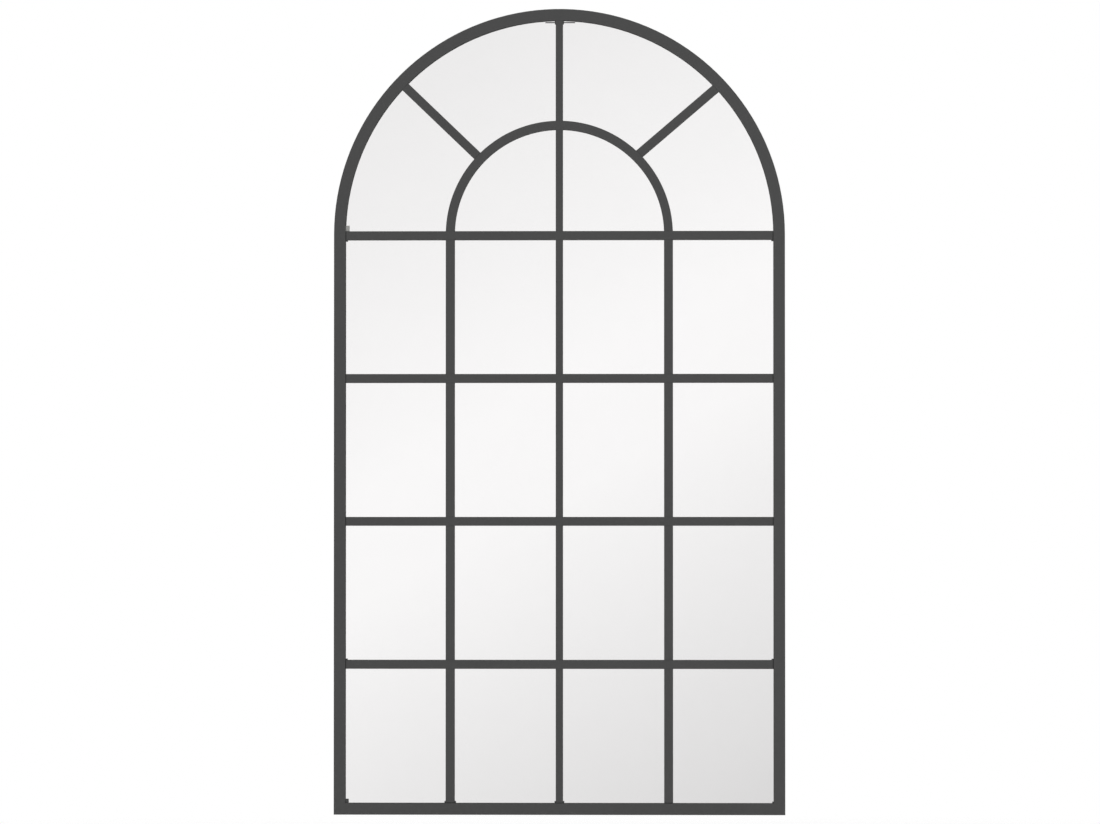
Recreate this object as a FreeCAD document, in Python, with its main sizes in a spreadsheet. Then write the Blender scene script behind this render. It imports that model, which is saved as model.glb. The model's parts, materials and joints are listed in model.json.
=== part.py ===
"""Arched window mirror: a steel frame with glazing bars in front of one sheet of mirror.

Axes: +X to the viewer's right, +Z up, and the mirror looks towards -Y.
Origin: on the wall plane (the backs of the wall bumpers), midway across, level with the bottom edge.
Every front piece is drawn in a local frame whose y is the depth behind the face of the frame.
"""
import FreeCAD, Part
import os
import Sketcher

# ----------------------------------------------------------------------------------------------
# Driving dimensions, in millimetres and degrees
# ----------------------------------------------------------------------------------------------
DRIVING = {
    # the steel frame, an angle section with its face to the front and its wall to the outside
    "overall_width": 711.0,
    "overall_height": 1270.0,
    "frame_depth": 22.0,
    "face_width": 18.4,
    "frame_wall": 2.0,
    # the glazing bars, flush with the face and half lapped where they cross
    "bar_width": 14.0,
    "centre_bar_width": 11.2,
    "bar_depth": 5.0,
    "tab_length": 10.0,
    "seam_gap": 0.8,
    "transom_drop": 2.0,
    "mullion_shift": 0.7,
    "left_spoke_angle": 136.2,
    "left_spoke_offset": 0.0,
    "right_spoke_angle": 40.5,
    "right_spoke_offset": 14.5,
    # small feet that show beside some bar ends
    "foot_side": 2.0,
    "foot_show": 3.0,
    "collar_width": 14.0,
    "collar_show": 5.4,
    # the cross pin through the head of the centre mullion
    "pin_length": 47.0,
    "pin_radius": 0.5,
    "pin_offset": 1.4,
    "pin_drop": 2.7,
    # the flat keys behind the two mitred corners
    "key_leg": 40.0,
    "key_wall": 2.0,
    "key_setback": 1.5,
    "left_key_show_across": 4.7,
    "left_key_show_up": 6.3,
    "right_key_show_across": 2.0,
    "right_key_show_up": 2.5,
    # the glass, its tape, its setting blocks and its backing
    "glass_thickness": 4.0,
    "board_thickness": 3.0,
    "edge_clearance": 3.0,
    "tape_setback": 2.0,
    "tape_width": 8.0,
    "tape_tail_show": 5.5,
    "tape_tail_height": 8.7,
    "block_length": 60.0,
    "block_spacing": 360.0,
    # the clips that hold the sandwich, on weld studs with nuts
    "clip_width": 14.0,
    "clip_wall": 1.2,
    "clip_reach": 14.0,
    "bend_radius": 1.0,
    "stud_rise": 5.8,
    "ear_margin": 3.2,
    "stud_length": 7.0,
    "thread_radius": 2.0,
    "nut_flats": 7.0,
    "nut_height": 2.2,
    "stile_clip_start": 150.0,
    "stile_clip_pitch": 270.0,
    "bottom_clip_pitch": 200.0,
    "arch_clip_start": 22.5,
    "arch_clip_pitch": 45.0,
    # the hanger rail, its two straps and their rings
    "rail_drop": 38.5,
    "rail_wall": 2.0,
    "rail_margin": 1.0,
    "hanger_spacing": 460.0,
    "loop_inset": 6.0,
    "strap_width": 12.0,
    "strap_wall": 1.2,
    "strap_tail": 4.5,
    "strap_screw_pitch": 8.0,
    "screw_head_radius": 3.6,
    "screw_head_height": 2.2,
    "screw_setback": 0.2,
    "recess_length": 4.2,
    "recess_width": 0.9,
    "recess_depth": 1.0,
    "ring_wire_radius": 1.5,
    "ring_corner_radius": 3.0,
    "ring_side_length": 1.0,
    "ring_side_room": 2.0,
    "ring_screw_gap": 0.4,
    # the gussets across the back of the frame and the bumpers stuck on them
    "gusset_wall": 2.0,
    "lower_gusset_leg": 45.0,
    "lower_gusset_tip": 6.0,
    "upper_gusset_reach": 30.0,
    "upper_gusset_arc": 10.0,
    "upper_gusset_angle": 45.0,
    "bumper_radius": 6.0,
    "bumper_height": 3.0,
    "bumper_bevel": 1.0,
    "bumper_inset": 14.0,
    # clearances
    "cope_gap": 0.1,
    "seat_gap": 0.1,
    "hole_gap": 0.2,
    "thread_gap": 0.05,
    "ring_gap": 0.3,
    "loose_gap": 0.3,
}

# ----------------------------------------------------------------------------------------------
# Sizes that follow from the driving dimensions
# ----------------------------------------------------------------------------------------------
DERIVED = {
    "half_width": "overall_width / 2",
    "arch_centre": "overall_height - half_width",
    "front_y": "0 - frame_depth - bumper_height",
    "inner_half": "half_width - face_width",
    "web_half": "half_width - frame_wall",
    "layer": "bar_depth - frame_wall",
    "lap": "bar_depth / 2",
    "pin_depth": "frame_wall + layer / 2",
    "half_bar": "bar_width / 2",
    "half_centre_bar": "centre_bar_width / 2",
    "transom_centre": "arch_centre - transom_drop",
    "pane_width": "(2 * inner_half - 2 * bar_width - centre_bar_width) / 4",
    "pane_height": "(transom_centre - half_bar - face_width - 3 * bar_width) / 4",
    "mullion_offset": "inner_half - pane_width - half_bar + mullion_shift",
    "row_pitch": "pane_height + bar_width",
    "upper_bar_centre": "transom_centre - row_pitch",
    "middle_bar_centre": "transom_centre - 2 * row_pitch",
    "lower_bar_centre": "transom_centre - 3 * row_pitch",
    "arch_bar_inner": "mullion_offset - half_bar",
    "arch_bar_outer": "mullion_offset + half_bar",
    "tab_end": "inner_half + tab_length",
    "tape_inner": "inner_half + tape_setback",
    "tape_outer": "tape_inner + tape_width",
    "tape_gap_half": "half_bar + foot_side + loose_gap",
    "glass_half": "web_half - edge_clearance",
    "glass_bottom": "frame_wall + edge_clearance",
    "board_front": "bar_depth + glass_thickness",
    "board_back": "board_front + board_thickness",
    "stud_depth": "board_back + stud_rise",
    "ear_end": "stud_depth + ear_margin",
    "rail_back": "board_back + rail_wall",
    "strap_back": "rail_back + strap_wall",
    "loop_hole_radius": "ring_wire_radius + ring_gap",
    "loop_radius": "loop_hole_radius + strap_wall",
    "loop_depth": "strap_back + loop_hole_radius",
    "ring_straight": "strap_width / 2 + ring_side_room",
    "ring_half_width": "ring_straight + ring_corner_radius",
    "ring_arc_drop": "ring_corner_radius + ring_side_length",
    "ring_reach": "ring_arc_drop + ring_half_width + ring_wire_radius",
    "strap_screw_drop": "ring_reach + ring_screw_gap + screw_head_radius",
    "strap_length": "strap_screw_drop + strap_screw_pitch + strap_tail",
    "screw_length": "strap_wall + rail_wall - screw_setback",
    "rail_height": "strap_length + loop_inset + rail_margin",
    "rail_centre": "arch_centre - rail_drop",
    "loop_above_centre": "rail_height / 2 - loop_inset",
    "loop_height": "rail_centre + loop_above_centre",
    "clip_hole_radius": "thread_radius + hole_gap",
    "thread_hole_radius": "thread_radius + thread_gap",
}

doc = FreeCAD.newDocument("ArchedWindowMirror")
sheet = doc.addObject("Spreadsheet::Sheet", "Sizes")
NODES = []


def write_sheet():
    """Write every size into the sheet and give each cell its own name."""
    formulas = {name: str(value) for name, value in DRIVING.items()}
    formulas.update({name: "=" + formula for name, formula in DERIVED.items()})
    for row, (name, content) in enumerate(formulas.items(), start=1):
        sheet.set(f"A{row}", name)
        sheet.set(f"B{row}", content)
        sheet.setAlias(f"B{row}", name)
    doc.recompute()


def bound(text):
    """An expression with each size name pointed at the sheet."""
    words = []
    word = ""
    for letter in text + " ":
        if letter.isalnum() or letter in "_.":
            word += letter
            continue
        words.append("Sizes." + word if word in DRIVING or word in DERIVED else word)
        words.append(letter)
        word = ""
    return "".join(words).strip()


# ----------------------------------------------------------------------------------------------
# Modelling helpers
# ----------------------------------------------------------------------------------------------
def place(item, x="0", y="0", z="0", angle=None):
    """Bind an object's position, and its turn about -Y (anticlockwise seen from the front)."""
    if angle is not None:
        item.Placement = FreeCAD.Placement(
            FreeCAD.Vector(), FreeCAD.Rotation(FreeCAD.Vector(0, -1, 0), 1)
        )
        item.setExpression("Placement.Rotation.Angle", bound(angle))
    for axis, text in (("x", x), ("y", y), ("z", z)):
        item.setExpression("Placement.Base." + axis, bound(text))


def body_at(label, x="0", y="front_y", z="0", angle=None):
    body = doc.addObject("PartDesign::Body", label)
    body.Label = label
    body.AllowCompound = True
    place(body, x, y, z, angle)
    return body


def node(item):
    """Register an object as one of the mirror's sub-parts."""
    NODES.append(item)
    return item


def sketch_on(body, role, offset="0", turn=None):
    """A sketch on one of the body's own origin planes, moved along that plane's normal."""
    sketch = body.newObject("Sketcher::SketchObject", body.Label + "_sketch")
    plane = next(item for item in body.Origin.OriginFeatures if item.Role == role)
    sketch.AttachmentSupport = [(plane, "")]
    sketch.MapMode = "FlatFace"
    if turn is not None:
        sketch.AttachmentOffset = FreeCAD.Placement(
            FreeCAD.Vector(), FreeCAD.Rotation(FreeCAD.Vector(0, 0, 1), 1)
        )
        sketch.setExpression("AttachmentOffset.Rotation.Angle", bound(turn))
    sketch.setExpression("AttachmentOffset.Base.z", bound(offset))
    return sketch


def front_sketch(body, depth="0", turn=None):
    """A sketch seen from the front: its x is +X, its y is +Z, and it lies at a depth."""
    return sketch_on(body, "XZ_Plane", "0 - (" + depth + ")", turn)


def polygon(sketch, corners):
    """A closed outline whose corners are pairs of expressions."""
    values = [
        tuple(float(sketch.evalExpression(bound(text))) for text in corner)
        for corner in corners
    ]
    first = sketch.GeometryCount
    count = len(corners)
    for index, start in enumerate(values):
        end = values[(index + 1) % count]
        line = Part.LineSegment(FreeCAD.Vector(*start, 0), FreeCAD.Vector(*end, 0))
        sketch.addGeometry(line)
    for index in range(count):
        following = first + (index + 1) % count
        sketch.addConstraint(Sketcher.Constraint("Coincident", first + index, 2, following, 1))
    for index, corner in enumerate(corners):
        for kind, text, value in zip(("DistanceX", "DistanceY"), corner, values[index]):
            rule = Sketcher.Constraint(kind, -1, 1, first + index, 1, value)
            number = sketch.addConstraint(rule)
            sketch.setExpression(f"Constraints[{number}]", bound(text))


def rectangle(sketch, low_x, high_x, low_y, high_y):
    polygon(sketch, [(low_x, low_y), (high_x, low_y), (high_x, high_y), (low_x, high_y)])


def circle(sketch, centre_x, centre_y, radius):
    texts = [bound(text) for text in (centre_x, centre_y, radius)]
    x, y, r = [float(sketch.evalExpression(text)) for text in texts]
    number = sketch.addGeometry(
        Part.Circle(FreeCAD.Vector(x, y, 0), FreeCAD.Vector(0, 0, 1), r)
    )
    rules = [
        Sketcher.Constraint("DistanceX", -1, 1, number, 3, x),
        Sketcher.Constraint("DistanceY", -1, 1, number, 3, y),
        Sketcher.Constraint("Radius", number, r),
    ]
    for rule, text in zip(rules, texts):
        sketch.setExpression(f"Constraints[{sketch.addConstraint(rule)}]", text)


def feature(body, kind, sketch, reverse):
    item = body.newObject("PartDesign::" + kind, body.Label + "_" + kind.lower())
    item.Profile = sketch
    item.Reversed = reverse
    return item


def pad(body, sketch, length, reverse=False):
    item = feature(body, "Pad", sketch, reverse)
    item.setExpression("Length", bound(length))
    return item


def pocket(body, sketch, length, reverse=False):
    item = feature(body, "Pocket", sketch, reverse)
    item.setExpression("Length", bound(length))
    return item


def pad_back(body, sketch, length):
    """Grow a front sketch backwards, away from the viewer."""
    return pad(body, sketch, length, reverse=True)


def revolve(body, sketch, angle, kind="Revolution"):
    """Turn a plan sketch about its depth axis, from +X up through +Z."""
    item = feature(body, kind, sketch, True)
    item.ReferenceAxis = (sketch, ["V_Axis"])
    item.setExpression("Angle", bound(angle))
    return item


def copies(label, master, stations):
    """One node that holds a copy of the master at each station (x, y, z, angle)."""
    links = []
    for x, y, z, angle in stations:
        link = doc.addObject("App::Link", label + "_copy")
        link.LinkedObject = master
        place(link, x, y, z, angle)
        links.append(link)
    group = doc.addObject("Part::Compound", label)
    group.Label = label
    group.Links = links
    return node(group)


def inward(direction):
    """The turn that points a master's +X at the middle of the mirror."""
    return "180 + (" + direction + ")"


# ----------------------------------------------------------------------------------------------
# The frame: an arched head, two stiles and a bottom rail, all of one angle section
# ----------------------------------------------------------------------------------------------
def angle_section(sign):
    """Plan outline of the angle: the face flange in front, the wall at the outer edge."""
    outline = [
        ("inner_half", "0"),
        ("half_width", "0"),
        ("half_width", "frame_depth"),
        ("web_half", "frame_depth"),
        ("web_half", "frame_wall"),
        ("inner_half", "frame_wall"),
    ]
    return [(f"{sign} * {x}", y) for x, y in outline]


def frame_arch():
    body = body_at("frame_arch", z="arch_centre")
    section = sketch_on(body, "XY_Plane")
    polygon(section, angle_section(1))
    revolve(body, section, "180")
    node(body)


def stile(label, sign):
    body = body_at(label)
    section = sketch_on(body, "XY_Plane")
    polygon(section, angle_section(sign))
    pad(body, section, "arch_centre")
    mitre = front_sketch(body)
    polygon(mitre, [
        (f"{sign} * half_width", "0"),
        (f"{sign} * inner_half", "0"),
        (f"{sign} * inner_half", "face_width"),
    ])
    pocket(body, mitre, "frame_depth")
    node(body)


def bottom_rail():
    body = body_at("bottom_rail")
    section = sketch_on(body, "YZ_Plane", "0 - half_width")
    polygon(section, [
        ("0", "0"),
        ("frame_depth", "0"),
        ("frame_depth", "frame_wall"),
        ("frame_wall", "frame_wall"),
        ("frame_wall", "face_width"),
        ("0", "face_width"),
    ])
    pad(body, section, "overall_width")
    mitres = front_sketch(body)
    for sign in (-1, 1):
        polygon(mitres, [
            (f"{sign} * half_width", "0"),
            (f"{sign} * half_width", "face_width"),
            (f"{sign} * inner_half", "face_width"),
        ])
    pocket(body, mitres, "frame_depth")
    node(body)


def corner_keys():
    """Flat keys behind the mitres; the inner corner of each shows a little in front."""
    body = body_at("corner_keys")
    outline = front_sketch(body, "frame_wall")
    for side, sign in (("left", -1), ("right", 1)):
        outer = "frame_wall + loose_gap"
        inner = "face_width - key_setback"
        show_across = f"face_width + {side}_key_show_across"
        show_up = f"face_width + {side}_key_show_up"
        corners = [
            (outer, outer),
            ("key_leg", outer),
            ("key_leg", inner),
            (show_across, inner),
            (show_across, show_up),
            (inner, show_up),
            (inner, "key_leg"),
            (outer, "key_leg"),
        ]
        polygon(outline, [(f"{sign} * (half_width - ({x}))", y) for x, y in corners])
    pad_back(body, outline, "key_wall")
    node(body)


# ----------------------------------------------------------------------------------------------
# The glazing bars
# ----------------------------------------------------------------------------------------------
CROSSINGS = (
    ("0 - mullion_offset", "half_bar"),
    ("0", "half_centre_bar"),
    ("mullion_offset", "half_bar"),
)
ROWS = ("lower_bar_centre", "middle_bar_centre", "upper_bar_centre", "transom_centre")


def horizontal_bar(label, height, feet):
    """A bar from stile to stile: its front stops short of the face, its back laps behind it."""
    body = body_at(label, z=height)
    front = front_sketch(body)
    end = "inner_half - seam_gap"
    rectangle(front, f"0 - ({end})", end, "0 - half_bar", "half_bar")
    pad_back(body, front, "bar_depth")
    tabs = front_sketch(body, "frame_wall")
    rectangle(tabs, "0 - tab_end", "tab_end", "0 - half_bar", "half_bar")
    pad_back(body, tabs, "layer")
    for end_sign, side_sign in feet:
        foot = front_sketch(body, "frame_wall")
        rectangle(
            foot,
            f"{end_sign} * (inner_half - foot_show)",
            f"{end_sign} * tab_end",
            "0",
            f"{side_sign} * (half_bar + foot_side)",
        )
        pad_back(body, foot, "layer")
    laps = front_sketch(body, "lap")
    for centre, half in CROSSINGS:
        rectangle(laps, f"{centre} - {half}", f"{centre} + {half}", "0 - half_bar", "half_bar")
    pocket(body, laps, "lap")
    node(body)


def upright(label, centre, half, front_top, back_top, foot_sides):
    """A bar that stands on the bottom rail and is notched in front wherever a row crosses it."""
    body = body_at(label, x=centre)
    front = front_sketch(body)
    rectangle(front, f"0 - {half}", half, "face_width + seam_gap", front_top)
    pad_back(body, front, "bar_depth")
    back = front_sketch(body, "frame_wall")
    rectangle(back, f"0 - {half}", half, "face_width - tab_length", back_top)
    pad_back(body, back, "layer")
    for sign in foot_sides:
        foot = front_sketch(body, "frame_wall")
        rectangle(
            foot, "0", f"{sign} * ({half} + foot_side)",
            "face_width - tab_length", "face_width + foot_show",
        )
        pad_back(body, foot, "layer")
    notches = front_sketch(body)
    for row in ROWS:
        rectangle(notches, f"0 - {half}", half, f"{row} - half_bar", f"{row} + half_bar")
    pocket(body, notches, "lap")
    return node(body)


def side_mullion(label, sign, foot_sides):
    transom_top = "transom_centre + half_bar"
    upright(label, f"{sign} * mullion_offset", "half_bar", transom_top, transom_top, foot_sides)


def centre_mullion():
    """The middle upright runs on through the transom and the inner arch up to the crown."""
    crown = "arch_centre + inner_half"
    body = upright(
        "centre_mullion", "0", "half_centre_bar",
        f"{crown} - cope_gap", f"{crown} + tab_length", (-1, 1),
    )
    collar = front_sketch(body, "frame_wall")
    rectangle(
        collar, "0 - collar_width / 2", "collar_width / 2",
        f"{crown} - collar_show", f"{crown} + tab_length",
    )
    pad_back(body, collar, "layer")
    head_lap = sketch_on(body, "XY_Plane", "arch_centre")
    rectangle(head_lap, "arch_bar_inner", "arch_bar_outer", "0", "lap")
    revolve(body, head_lap, "180", "Groove")
    pin_hole = sketch_on(body, "YZ_Plane", "0 - centre_bar_width")
    circle(pin_hole, "pin_depth", f"{crown} - pin_drop", "pin_radius + thread_gap")
    pocket(body, pin_hole, "2 * centre_bar_width", reverse=True)


def crown_pin():
    """A thin cross pin through the head of the centre mullion, just in front of the glass."""
    body = body_at("crown_pin")
    end = sketch_on(body, "YZ_Plane", "pin_offset - pin_length / 2")
    circle(end, "pin_depth", "arch_centre + inner_half - pin_drop", "pin_radius")
    pad(body, end, "pin_length")
    node(body)


def inner_arch():
    """The half ring whose feet stand on the transom, in line with the side mullions."""
    body = body_at("inner_arch", z="arch_centre")
    section = sketch_on(body, "XY_Plane")
    rectangle(section, "arch_bar_inner", "arch_bar_outer", "0", "bar_depth")
    revolve(body, section, "180")
    feet = front_sketch(body)
    rectangle(feet, "0 - half_width", "half_width", "0 - half_bar", "half_bar - transom_drop")
    pocket(body, feet, "bar_depth")
    crown_lap = front_sketch(body, "lap")
    rectangle(crown_lap, "0 - half_centre_bar", "half_centre_bar",
              "arch_bar_inner - half_bar", "arch_bar_outer + half_bar")
    pocket(body, crown_lap, "lap")
    node(body)


def spoke(label, side):
    """A bar from the inner arch to the frame, coped to both curves."""
    body = body_at(label, z="arch_centre", angle=f"{side}_spoke_angle")
    blank = front_sketch(body)
    rectangle(blank, "mullion_offset", "tab_end",
              f"{side}_spoke_offset - half_bar", f"{side}_spoke_offset + half_bar")
    pad_back(body, blank, "bar_depth")
    inner_cope = sketch_on(body, "XY_Plane")
    rectangle(inner_cope, "0", "arch_bar_outer + cope_gap", "0", "bar_depth")
    revolve(body, inner_cope, "360", "Groove")
    outer_cope = sketch_on(body, "XY_Plane")
    rectangle(outer_cope, "inner_half - cope_gap", "half_width", "0", "frame_wall")
    revolve(body, outer_cope, "360", "Groove")
    node(body)


# ----------------------------------------------------------------------------------------------
# The glass and what beds it
# ----------------------------------------------------------------------------------------------
def arched_sheet(label, front, thickness):
    """A flat sheet of the frame's own outline: a half disc on a rectangle."""
    body = body_at(label, z="arch_centre")
    radius = sketch_on(body, "XY_Plane")
    rectangle(radius, "0", "glass_half", front, f"{front} + {thickness}")
    revolve(body, radius, "180")
    lower = front_sketch(body, front)
    rectangle(lower, "0 - glass_half", "glass_half", "glass_bottom - arch_centre", "0")
    pad_back(body, lower, thickness)
    node(body)


def glazing_tape():
    """Foam tape between the face and the glass, cut out round every bar end and corner key."""
    body = body_at("glazing_tape", z="arch_centre")
    section = sketch_on(body, "XY_Plane")
    rectangle(section, "tape_inner", "tape_outer", "frame_wall", "bar_depth")
    revolve(body, section, "180")
    lower = front_sketch(body, "frame_wall")
    outer_z = "half_width - tape_outer - arch_centre"
    inner_z = "half_width - tape_inner - arch_centre"
    polygon(lower, [
        ("0 - tape_outer", "0"),
        ("0 - tape_outer", outer_z),
        ("tape_outer", outer_z),
        ("tape_outer", "0"),
        ("tape_inner", "0"),
        ("tape_inner", inner_z),
        ("0 - tape_inner", inner_z),
        ("0 - tape_inner", "0"),
    ])
    pad_back(body, lower, "layer")
    bar_ends = front_sketch(body, "frame_wall")
    for row in ROWS:
        for sign in (-1, 1):
            rectangle(bar_ends, f"{sign} * inner_half", f"{sign} * half_width",
                      f"{row} - arch_centre - tape_gap_half", f"{row} - arch_centre + tape_gap_half")
    for centre, half in CROSSINGS:
        gap = f"({half} + foot_side + loose_gap)"
        rectangle(bar_ends, f"{centre} - {gap}", f"{centre} + {gap}",
                  "0 - arch_centre", "face_width - arch_centre")
    for sign in (-1, 1):
        rectangle(bar_ends, f"{sign} * (half_width - key_leg - loose_gap)", f"{sign} * half_width",
                  "0 - arch_centre", "key_leg + loose_gap - arch_centre")
    crown_gap = "(collar_width / 2 + loose_gap)"
    rectangle(bar_ends, f"0 - {crown_gap}", crown_gap, "inner_half", "half_width")
    pocket(body, bar_ends, "layer")
    for side in ("left", "right"):
        spoke_end = front_sketch(body, "frame_wall", turn=f"{side}_spoke_angle")
        middle = f"{side}_spoke_offset"
        rectangle(spoke_end, "inner_half - bar_width", "half_width",
                  f"{middle} - half_bar - loose_gap", f"{middle} + half_bar + loose_gap")
        pocket(body, spoke_end, "layer")
    tail = front_sketch(body, "frame_wall")
    tail_foot = "half_bar + loose_gap - transom_drop"
    rectangle(tail, "0 - tape_outer", "tape_tail_show - inner_half",
              tail_foot, f"{tail_foot} + tape_tail_height")
    pad_back(body, tail, "layer")
    node(body)


def setting_blocks():
    """Two blocks on the bottom rail that carry the weight of the glass and the board."""
    body = body_at("setting_blocks")
    plan = sketch_on(body, "XY_Plane", "frame_wall")
    for sign in (-1, 1):
        middle = f"{sign} * block_spacing / 2"
        rectangle(plan, f"{middle} - block_length / 2", f"{middle} + block_length / 2",
                  "bar_depth", "board_back")
    pad(body, plan, "edge_clearance")
    node(body)


# ----------------------------------------------------------------------------------------------
# The clips round the back, with their studs and nuts
# ----------------------------------------------------------------------------------------------
def wall_stations():
    """Where a clip stands on the frame's wall: a point on the wall and its outward direction."""
    stations = []
    for row in range(3):
        height = f"stile_clip_start + {row} * stile_clip_pitch"
        stations.append(("web_half", height, "0"))
        stations.append(("0 - web_half", height, "180"))
    for column in (-1, 0, 1):
        stations.append((f"{column} * bottom_clip_pitch", "frame_wall", "270"))
    for step in range(4):
        direction = f"(arch_clip_start + {step} * arch_clip_pitch)"
        stations.append((
            f"web_half * cos({direction})",
            f"arch_centre + web_half * sin({direction})",
            direction,
        ))
    return stations


def rail_stations():
    """Where the hanger rail's two ears meet the frame's wall."""
    return [("web_half", "rail_centre", "0"), ("0 - web_half", "rail_centre", "180")]


def shifted_in(station, distance):
    """The same station moved from the wall towards the middle of the mirror."""
    x, z, direction = station
    return (
        f"{x} - ({distance}) * cos({direction})",
        f"{z} - ({distance}) * sin({direction})",
        direction,
    )


def at_front(stations):
    return [(x, "front_y", z, inward(direction)) for x, z, direction in stations]


def clip_master():
    """A bent clip: one leg on the frame's wall, one foot on the backing board."""
    body = body_at("clip_master", y="0")
    profile = sketch_on(body, "XY_Plane", "0 - clip_width / 2")
    polygon(profile, [
        ("seat_gap", "board_back"),
        ("clip_reach", "board_back"),
        ("clip_reach", "board_back + clip_wall"),
        ("seat_gap + clip_wall", "board_back + clip_wall"),
        ("seat_gap + clip_wall", "ear_end"),
        ("seat_gap", "ear_end"),
    ])
    blank = pad(body, profile, "clip_width")
    doc.recompute()
    bends = (
        ("seat_gap", "board_back", "bend_radius + clip_wall"),
        ("seat_gap + clip_wall", "board_back + clip_wall", "bend_radius"),
    )
    for x, y, radius in bends:
        corner = [float(sheet.evalExpression(bound(text))) for text in (x, y)]
        bend = body.newObject("PartDesign::Fillet", "bend")
        bend.Base = (blank, [upright_edge(blank.Shape, *corner)])
        bend.setExpression("Radius", bound(radius))
        doc.recompute()
        blank = bend
    hole = sketch_on(body, "YZ_Plane")
    circle(hole, "stud_depth", "0", "clip_hole_radius")
    pocket(body, hole, "clip_reach / 2", reverse=True)
    return body


def upright_edge(shape, x, y):
    """The name of the edge along Z that stands at (x, y)."""
    reach = 0.001
    for number, edge in enumerate(shape.Edges, start=1):
        ends = [vertex.Point for vertex in edge.Vertexes]
        if all(abs(point.x - x) < reach and abs(point.y - y) < reach for point in ends):
            return f"Edge{number}"
    raise RuntimeError(f"no upright edge at {x}, {y}")


def stud_master():
    body = body_at("stud_master", y="0")
    end = sketch_on(body, "YZ_Plane")
    circle(end, "stud_depth", "0", "thread_radius")
    pad(body, end, "stud_length")
    return body


def nut_master():
    """A thin hexagon nut with two flats square to the depth."""
    body = body_at("nut_master", y="0")
    plan = sketch_on(body, "YZ_Plane")
    flat = "nut_flats / 2"
    corner = "nut_flats / 2 * tan(30)"
    point = "nut_flats / 2 / cos(30)"
    polygon(plan, [
        (f"stud_depth + {flat}", corner),
        ("stud_depth", point),
        (f"stud_depth - {flat}", corner),
        (f"stud_depth - {flat}", f"0 - {corner}"),
        ("stud_depth", f"0 - {point}"),
        (f"stud_depth + {flat}", f"0 - {corner}"),
    ])
    pad(body, plan, "nut_height")
    hole = sketch_on(body, "YZ_Plane")
    circle(hole, "stud_depth", "0", "thread_hole_radius")
    pocket(body, hole, "nut_height", reverse=True)
    return body


def clips_studs_and_nuts():
    clips = wall_stations()
    ears = rail_stations()
    copies("retaining_clips", clip_master(), at_front(clips))
    copies("clip_studs", stud_master(), at_front(clips + ears))
    seats = [shifted_in(station, "seat_gap + clip_wall") for station in clips]
    seats += [shifted_in(station, "seat_gap + rail_wall") for station in ears]
    copies("clip_nuts", nut_master(), at_front(seats))


# ----------------------------------------------------------------------------------------------
# The hanger rail, its straps, screws and rings
# ----------------------------------------------------------------------------------------------
def hanger_rail():
    """A strip across the back with two ears bent along the frame's wall."""
    body = body_at("hanger_rail", z="rail_centre")
    plan = sketch_on(body, "XY_Plane", "0 - rail_height / 2")
    end = "(web_half - seat_gap)"
    ear = "ear_end"
    polygon(plan, [
        (f"0 - {end}", "board_back"),
        (end, "board_back"),
        (end, ear),
        (f"{end} - rail_wall", ear),
        (f"{end} - rail_wall", "rail_back"),
        (f"rail_wall - {end}", "rail_back"),
        (f"rail_wall - {end}", ear),
        (f"0 - {end}", ear),
    ])
    pad(body, plan, "rail_height")
    stud_holes = sketch_on(body, "YZ_Plane", "0 - half_width")
    circle(stud_holes, "stud_depth", "0", "clip_hole_radius")
    pocket(body, stud_holes, "overall_width", reverse=True)
    tapped = front_sketch(body, "board_back")
    for sign in (-1, 1):
        for number in range(2):
            circle(tapped, f"{sign} * hanger_spacing / 2", strap_screw(number, "loop_above_centre"),
                   "thread_hole_radius")
    pocket(body, tapped, "rail_wall")
    node(body)


def strap_screw(number, loop):
    """The height of a strap screw below its loop."""
    return f"{loop} - strap_screw_drop - {number} * strap_screw_pitch"


def strap_master():
    """A strap with a loop at its top; its origin is the middle of the loop."""
    body = body_at("strap_master", y="0")
    side = sketch_on(body, "YZ_Plane", "0 - strap_width / 2")
    back = "0 - loop_hole_radius"
    rectangle(side, f"{back} - strap_wall", back, "0 - strap_length", "0")
    pad(body, side, "strap_width")
    loop = sketch_on(body, "YZ_Plane", "0 - strap_width / 2")
    circle(loop, "0", "0", "loop_radius")
    pad(body, loop, "strap_width")
    eye = sketch_on(body, "YZ_Plane", "0 - strap_width / 2")
    circle(eye, "0", "0", "loop_hole_radius")
    pocket(body, eye, "strap_width", reverse=True)
    holes = front_sketch(body, "0 - loop_radius")
    for number in range(2):
        circle(holes, "0", strap_screw(number, "0"), "clip_hole_radius")
    pocket(body, holes, "strap_wall")
    return body


def screw_master():
    """A pan head screw; its origin is the seat of its head and the head points back."""
    body = body_at("screw_master", y="0")
    half = sketch_on(body, "XY_Plane")
    polygon(half, [
        ("0", "0 - screw_length"),
        ("thread_radius", "0 - screw_length"),
        ("thread_radius", "0"),
        ("screw_head_radius", "0"),
        ("screw_head_radius", "screw_head_height / 2"),
        ("thread_radius", "screw_head_height"),
        ("0", "screw_head_height"),
    ])
    revolve(body, half, "360")
    recess = front_sketch(body, "screw_head_height")
    long_half = "recess_length / 2"
    short_half = "recess_width / 2"
    polygon(recess, [
        (long_half, short_half),
        (short_half, short_half),
        (short_half, long_half),
        (f"0 - {short_half}", long_half),
        (f"0 - {short_half}", short_half),
        (f"0 - {long_half}", short_half),
        (f"0 - {long_half}", f"0 - {short_half}"),
        (f"0 - {short_half}", f"0 - {short_half}"),
        (f"0 - {short_half}", f"0 - {long_half}"),
        (short_half, f"0 - {long_half}"),
        (short_half, f"0 - {short_half}"),
        (long_half, f"0 - {short_half}"),
    ])
    pocket(body, recess, "recess_depth", reverse=True)
    return body


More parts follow.
